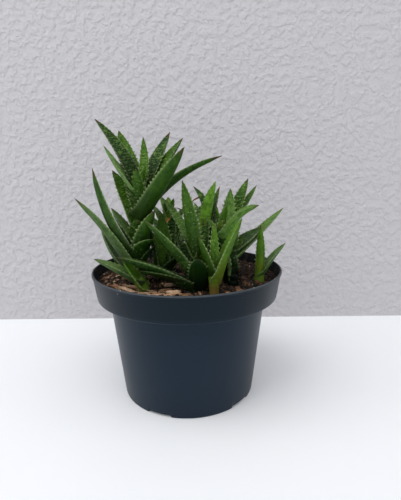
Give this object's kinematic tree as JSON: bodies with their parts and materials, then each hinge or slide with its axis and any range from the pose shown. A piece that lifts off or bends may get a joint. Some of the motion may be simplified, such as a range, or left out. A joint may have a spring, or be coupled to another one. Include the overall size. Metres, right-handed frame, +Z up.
{
  "type": "potted aloe",
  "caption": "Clump of short toothed aloe rosettes on leafy stems, standing in peat in a plain round nursery pot with a deep collar.",
  "frame": {"origin": "middle of the pot's flat foot, on the surface that it stands on", "axes": "+Z up, +X to the viewer's right and +Y away from the viewer of the picture"},
  "size_m": [0.122, 0.12, 0.1725],
  "materials": {
    "pot_plastic": "dark slate-blue moulded plastic with a soft sheen",
    "peat_and_bark": "dark brown peat with orange-brown bark chips",
    "leaf_green": "waxy dark to mid green leaf with pale bumps",
    "leaf_young_green": "waxy yellow-green young leaf"
  },
  "bodies": {
    "root": {"pot": "pot_plastic", "soil": "peat_and_bark", "shoot_tall": "leaf_green", "shoot_front": "leaf_green", "shoot_young": "leaf_young_green", "shoot_low": "leaf_green", "shoot_middle": "leaf_green", "shoot_right": "leaf_green", "shoot_pup": "leaf_green", "shoot_back": "leaf_green", "shoot_rear": "leaf_green", "shoot_inner": "leaf_green"}
  },
  "joints": []
}
